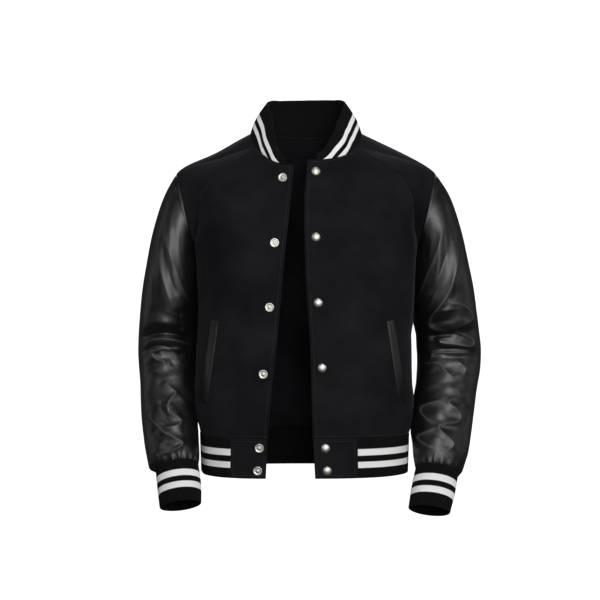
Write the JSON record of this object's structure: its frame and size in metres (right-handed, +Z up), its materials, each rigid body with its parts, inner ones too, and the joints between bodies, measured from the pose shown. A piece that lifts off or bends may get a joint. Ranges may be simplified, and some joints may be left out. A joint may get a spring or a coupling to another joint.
{
  "type": "varsity jacket",
  "caption": "Black varsity jacket worn open: wool body, leather sleeves, striped rib-knit collar, cuffs and hem, snap front and slanted pockets",
  "frame": {"origin": "Midway between the two neck points, where the wearer's shoulders carry the jacket", "axes": "+Z up along the body, -Y the front, +X the wearer's left"},
  "size_m": [0.6338, 0.2654, 0.7664],
  "materials": {
    "wool": "napped wool melton",
    "leather": "soft semi-gloss",
    "rib_knit": "matt rib knit with pale stripes",
    "snap_metal": "polished"
  },
  "bodies": {
    "root": {"front_left": "wool", "front_right": "wool", "back": "wool", "shoulder_left": "wool", "shoulder_right": "wool", "hem_tab_left": "wool", "hem_tab_right": "wool", "sleeve_left": "leather", "sleeve_right": "leather", "pocket_welt_left": "leather", "pocket_welt_right": "leather", "cuff_left": "rib_knit", "cuff_right": "rib_knit", "collar": "rib_knit", "hem_rib": "rib_knit", "snap_cap_1": "snap_metal", "snap_cap_2": "snap_metal", "snap_cap_3": "snap_metal", "snap_cap_4": "snap_metal", "snap_cap_5": "snap_metal", "snap_cap_6": "snap_metal", "snap_stud_1": "snap_metal", "snap_stud_2": "snap_metal", "snap_stud_3": "snap_metal", "snap_stud_4": "snap_metal", "snap_stud_5": "snap_metal", "snap_stud_6": "snap_metal"}
  },
  "joints": []
}
